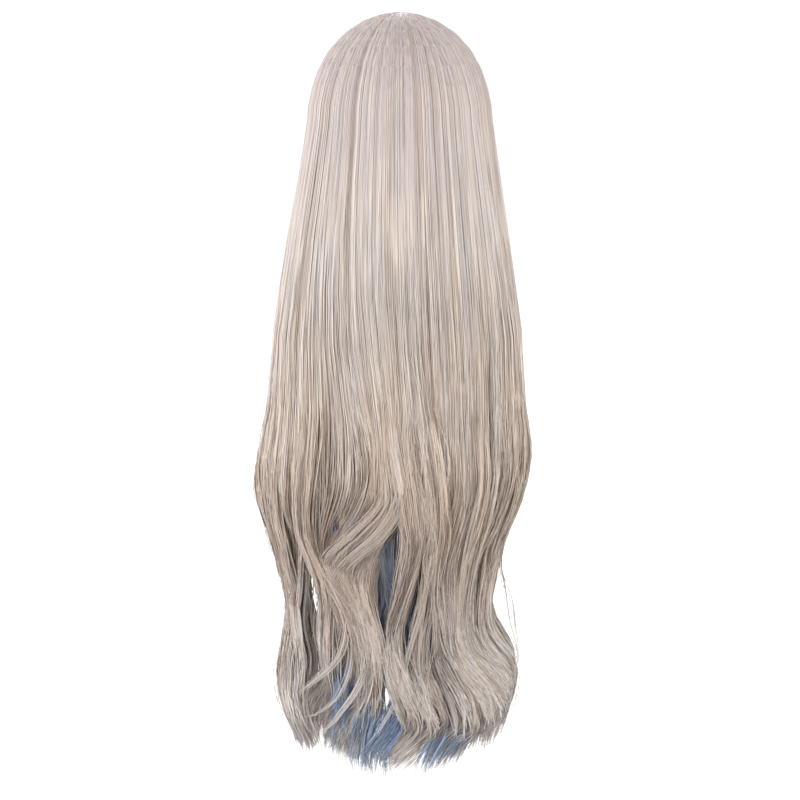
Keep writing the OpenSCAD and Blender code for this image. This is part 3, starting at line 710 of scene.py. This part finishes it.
def rows(nodes, links, axis, per_metre, distortion=0.4):
    """Soft parallel ribs across one axis."""
    node = nodes.new("ShaderNodeTexWave")
    node.bands_direction = axis
    node.inputs["Scale"].default_value = per_metre * math.pi / 10
    node.inputs["Distortion"].default_value = distortion
    node.inputs["Detail"].default_value = 2.0
    node.inputs["Detail Scale"].default_value = 3.0
    links.new(object_coords(nodes, links, (1, 1, 1)), node.inputs["Vector"])
    return node.outputs["Fac"]


def rough_and_bumpy(nodes, links, shader, pattern, roughness, strength, depth):
    """Gives a shader its roughness, between two values, and its bump, both by one pattern."""
    rough = nodes.new("ShaderNodeMapRange")
    rough.inputs["To Min"].default_value, rough.inputs["To Max"].default_value = roughness
    links.new(pattern, rough.inputs["Value"])
    links.new(rough.outputs["Result"], shader.inputs["Roughness"])
    bump = nodes.new("ShaderNodeBump")
    bump.inputs["Strength"].default_value = strength
    bump.inputs["Distance"].default_value = depth
    links.new(pattern, bump.inputs["Height"])
    links.new(bump.outputs["Normal"], shader.inputs["Normal"])


# Streaks per metre along a fibre, and how much they change its tone
STREAKS_PER_METRE = 13
STREAK_SHARE = 0.3
# Cool and warm patches per metre across and along the hair
PATCHES_PER_METRE = (70, 70, 2)


def hair_material(name, by_drop, dark, light, cool, warm):
    """Hair whose colour runs by_drop from root to tip, with darker and lighter fibres, fine streaks and
    broader cool and warm patches. The by_drop colours can also hold painted shade, as the blonde's do."""
    mat, nodes, links, shader = material(name, roughness=0.42)
    drop = attribute(nodes, "drop")
    colours = ramp(nodes, by_drop)
    links.new(drop, colours.inputs["Fac"])
    along = nodes.new("ShaderNodeCombineXYZ")
    links.new(attribute(nodes, "strand"), along.inputs["X"])
    links.new(drop, along.inputs["Y"])
    streak_coords = scaled(nodes, links, along.outputs["Vector"], (1, STREAKS_PER_METRE, 1))
    streaks = noise_at(nodes, links, streak_coords, 3.0)
    total = combine(nodes, links, "MULTIPLY_ADD", streaks, STREAK_SHARE, attribute(nodes, "tone"))
    shade = ramp(nodes, [(0.25, dark), (0.60, (0.90, 0.88, 0.87)), (1.0, light)])
    links.new(total, shade.inputs["Fac"])
    hue = ramp(nodes, [(0.36, cool), (0.50, (1.0, 1.0, 1.0)), (0.64, warm)])
    links.new(noise(nodes, links, PATCHES_PER_METRE, 1.0), hue.inputs["Fac"])
    shaded = multiply(nodes, links, colours.outputs["Color"], shade.outputs["Color"])
    links.new(multiply(nodes, links, shaded, hue.outputs["Color"]), shader.inputs["Base Color"])
    rough_and_bumpy(nodes, links, shader, streaks, (0.34, 0.56), 0.25, 0.0002)
    return mat


# Blonde colours by drop: partly the hair's own root-to-tip colour, partly painted shade, as the darker band
# at drops of about 0.5 to 0.65 stands in for shade over the lower hair
BLONDE = hair_material(
    "hair_blonde",
    by_drop=[
        (0.0, (0.43, 0.385, 0.378)), (0.25, (0.475, 0.435, 0.405)), (0.42, (0.475, 0.42, 0.375)),
        (0.52, (0.37, 0.312, 0.267)), (0.62, (0.33, 0.282, 0.248)), (0.72, (0.385, 0.352, 0.328)),
        (0.90, (0.43, 0.41, 0.405)),
    ],
    dark=(0.55, 0.46, 0.40), light=(1.20, 1.21, 1.21), cool=(0.97, 0.98, 1.01), warm=(1.03, 1.01, 0.98),
)
BLUE = hair_material(
    "hair_blue",
    by_drop=[
        (0.0, (0.17, 0.16, 0.17)), (0.50, (0.15, 0.15, 0.16)), (0.60, (0.13, 0.14, 0.17)),
        (0.70, (0.17, 0.21, 0.29)), (0.90, (0.22, 0.29, 0.41)),
    ],
    dark=(0.40, 0.43, 0.50), light=(1.25, 1.25, 1.2), cool=(0.92, 0.98, 1.06), warm=(1.08, 1.02, 0.92),
)


def finish_from(name, height, roughness, bump_depth, stops):
    """A material whose colour, roughness and bump all follow one height pattern."""
    mat, nodes, links, shader = material(name)
    pattern = height(nodes, links)
    colours = ramp(nodes, stops)
    links.new(pattern, colours.inputs["Fac"])
    links.new(colours.outputs["Color"], shader.inputs["Base Color"])
    rough_and_bumpy(nodes, links, shader, pattern, roughness, 0.8, bump_depth)
    return mat


def mixed(nodes, links, a, share, b, other_share):
    """Sum of two patterns, each times its share."""
    return combine(nodes, links, "ADD", combine(nodes, links, "MULTIPLY", a, share),
                   combine(nodes, links, "MULTIPLY", b, other_share))


def net_height(nodes, links):
    """Knitted threads round open cells of about 3 mm, with a little fuzz. The cells lie low and take the
    net's near-black, painted shade for the see-through holes.
    """
    cells = nodes.new("ShaderNodeTexVoronoi")
    cells.feature = "DISTANCE_TO_EDGE"
    cells.inputs["Scale"].default_value = 330
    cells.inputs["Randomness"].default_value = 0.35
    links.new(object_coords(nodes, links, (1, 1, 1)), cells.inputs["Vector"])
    edge = nodes.new("ShaderNodeMapRange")
    edge.inputs["From Max"].default_value = 0.22
    edge.inputs["To Min"].default_value = 1.0
    edge.inputs["To Max"].default_value = 0.0
    links.new(cells.outputs["Distance"], edge.inputs["Value"])
    fuzz = combine(nodes, links, "MULTIPLY", noise(nodes, links, (2500, 2500, 2500)), 0.25)
    return combine(nodes, links, "ADD", edge.outputs["Result"], fuzz)


def weave_height(per_metre, fuzz_share):
    """Ribs along and across, as in woven tape."""
    def height(nodes, links):
        across, along = (rows(nodes, links, axis, per_metre) for axis in ("X", "Z"))
        ribs = combine(nodes, links, "MAXIMUM", across, along)
        fuzz = noise(nodes, links, (1800, 1800, 1800))
        return mixed(nodes, links, ribs, 1 - fuzz_share, fuzz, fuzz_share)
    return height


def stitch_height(nodes, links):
    """Rows of machine stitches over a band of hair roots."""
    roots = noise(nodes, links, (1500, 1500, 120))
    seams = rows(nodes, links, "Z", 330, 0.8)
    return mixed(nodes, links, roots, 0.6, seams, 0.4)


def skin_height(nodes, links):
    """Fine pores over a slow mottling."""
    pores = noise(nodes, links, (2600, 2600, 2600), 4.0)
    mottle = noise(nodes, links, (160, 160, 160), 2.0)
    return mixed(nodes, links, pores, 0.55, mottle, 0.45)


def thread_height(nodes, links):
    """Twisted thread, as short slanting ridges."""
    return rows(nodes, links, "DIAGONAL", 1100, 0.6)


def plastic_height(nodes, links):
    """Moulded grain."""
    return noise(nodes, links, (900, 900, 900), 6.0)


# By material slot: name, height pattern, roughness where the pattern is low and where it is high, depth
# of the bump in metres, and colours by height
CAP_FINISHES = {
    # The net's near-black for the low cells is painted shade, standing in for the see-through holes of an
    # open net on this solid surface
    "net": ("cap_net", net_height, (0.95, 0.70), 0.0006,
            [(0.12, (0.018, 0.013, 0.011)), (0.55, (0.075, 0.055, 0.045)), (1.0, (0.15, 0.115, 0.095))]),
    "elastic": ("cap_elastic", weave_height(900, 0.3), (0.95, 0.65), 0.0004,
                [(0.15, (0.022, 0.016, 0.013)), (0.6, (0.075, 0.058, 0.048)), (1.0, (0.14, 0.11, 0.095))]),
    "skin_top": ("parting_skin", skin_height, (0.75, 0.50), 0.0002,
                 [(0.25, (0.50, 0.31, 0.22)), (0.5, (0.66, 0.46, 0.35)), (0.8, (0.76, 0.58, 0.46))]),
    "stay": ("ear_stay", plastic_height, (0.28, 0.48), 0.0001,
             [(0.3, (0.52, 0.52, 0.53)), (0.7, (0.68, 0.68, 0.69))]),
    "weft": ("weft_track", stitch_height, (0.85, 0.50), 0.0005,
             [(0.2, (0.13, 0.10, 0.085)), (0.5, (0.30, 0.25, 0.21)), (0.85, (0.50, 0.45, 0.40))]),
    "thread": ("loop_thread", thread_height, (0.9, 0.55), 0.0002,
               [(0.2, (0.012, 0.011, 0.011)), (0.9, (0.075, 0.065, 0.06))]),
    "label": ("woven_label", weave_height(1600, 0.4), (0.85, 0.60), 0.0002,
              [(0.15, (0.60, 0.58, 0.54)), (0.6, (0.78, 0.76, 0.72)), (1.0, (0.88, 0.87, 0.84))]),
    "hook": ("hook_plastic", plastic_height, (0.30, 0.50), 0.0001,
             [(0.3, (0.035, 0.032, 0.032)), (0.7, (0.075, 0.070, 0.070))]),
}
CAP_MATERIALS = {slot: finish_from(*finish) for slot, finish in CAP_FINISHES.items()}
for row in frame["record"]["subparts"]:
    if row["material_slot"] in CAP_MATERIALS:
        for slot in frame["nodes"][row["node"]].material_slots:
            slot.material = CAP_MATERIALS[row["material_slot"]]

# ---------------------------------------------------------------- giving the hair its materials

# Drops between which the hair leaves the cap for its own body: falls and locks, and fringe
FALL_BLEND = (0.102, 0.170)
FRINGE_BLEND = (0.050, 0.080)


def hang_on(piece):
    """Bakes the piece's placement into its mesh."""
    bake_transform(piece)


for pieces, mat, slot, drops in (
    (hair_pieces, BLONDE, "hair_blonde", FALL_BLEND),
    (under_pieces, BLUE, "hair_blue", FALL_BLEND),
    (fringe_pieces, BLONDE, "hair_blonde", FRINGE_BLEND),
):
    for piece, body in pieces:
        piece.data.materials.append(mat)
        hang_on(piece)


def nodes_with(*starts):
    """Names of the CAD nodes that start with any of the given words."""
    return [n for n in frame["nodes"] if n.startswith(starts)]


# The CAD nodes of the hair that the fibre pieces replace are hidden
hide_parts(*nodes_with("crown_hair", "crown_whorl", "back_fall", "side_fall", "front_lock"))
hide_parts(*nodes_with("under_fall"))
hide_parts(*nodes_with("fringe"))

# ---------------------------------------------------------------- camera, light and floor

CAMERA_AT = (0.0, 1.88, 0.014)
CAMERA_PITCH = 76.75
LENS, SENSOR = 72.9, 36
FLOOR_Z = -0.93
FLOOR_REACH = 60.0
WORLD_STRENGTH = 1.05

# Area lights: name, place, height on the axis that it is aimed at, size, watts and colour
LIGHTS = [
    ("key", (1.3, 2.2, 0.9), -0.35, 1.4, 48, (1.0, 0.96, 0.96)),
    ("fill", (-1.6, 1.8, 0.5), -0.45, 1.4, 22, (1.0, 0.95, 0.88)),
    ("left side", (2.0, 0.5, -0.3), -0.45, 1.2, 16, (1.0, 0.97, 0.95)),
    ("right side", (-2.0, 0.5, -0.3), -0.45, 1.2, 16, (1.0, 0.96, 0.92)),
    ("front", (0.4, -2.2, 0.7), -0.4, 1.6, 35, (1.0, 0.98, 0.96)),
]


def add_camera():
    """A camera behind the wearer, level with the crown and looking a little down."""
    camera = bpy.data.objects.new("camera", bpy.data.cameras.new("camera"))
    camera.location = CAMERA_AT
    camera.rotation_euler = (math.radians(CAMERA_PITCH), 0, math.pi)
    camera.data.lens = LENS
    camera.data.sensor_width = SENSOR
    scene.collection.objects.link(camera)
    scene.camera = camera


def add_light(name, place, aim_z, size, watts, colour):
    """An area light that points at a height on the wig's axis."""
    light = bpy.data.objects.new(name, bpy.data.lights.new(name, "AREA"))
    light.data.size = size
    light.data.energy = watts
    light.data.color = colour
    light.location = place
    direction = Vector((0, 0, aim_z)) - Vector(place)
    light.rotation_euler = direction.to_track_quat("-Z", "Y").to_euler()
    scene.collection.objects.link(light)


def add_stage():
    """White floor below the hair, and a white world."""
    floor_mesh = bpy.data.meshes.new("floor")
    corners = [(-1, -1), (1, -1), (1, 1), (-1, 1)]
    floor_mesh.from_pydata(
        [(x * FLOOR_REACH, y * FLOOR_REACH, FLOOR_Z) for x, y in corners], [], [(0, 1, 2, 3)])
    floor = bpy.data.objects.new("floor", floor_mesh)
    scene.collection.objects.link(floor)
    mat, _, _, shader = material("floor", roughness=0.9)
    shader.inputs["Base Color"].default_value = (1.0, 1.0, 1.0, 1)
    floor.data.materials.append(mat)
    world = bpy.data.worlds.new("studio")
    world.use_nodes = True
    background = world.node_tree.nodes["Background"]
    background.inputs["Color"].default_value = (1.0, 1.0, 1.0, 1)
    background.inputs["Strength"].default_value = WORLD_STRENGTH
    scene.world = world


add_camera()
add_stage()
for light in LIGHTS:
    add_light(*light)
scene.view_settings.view_transform = "Standard"
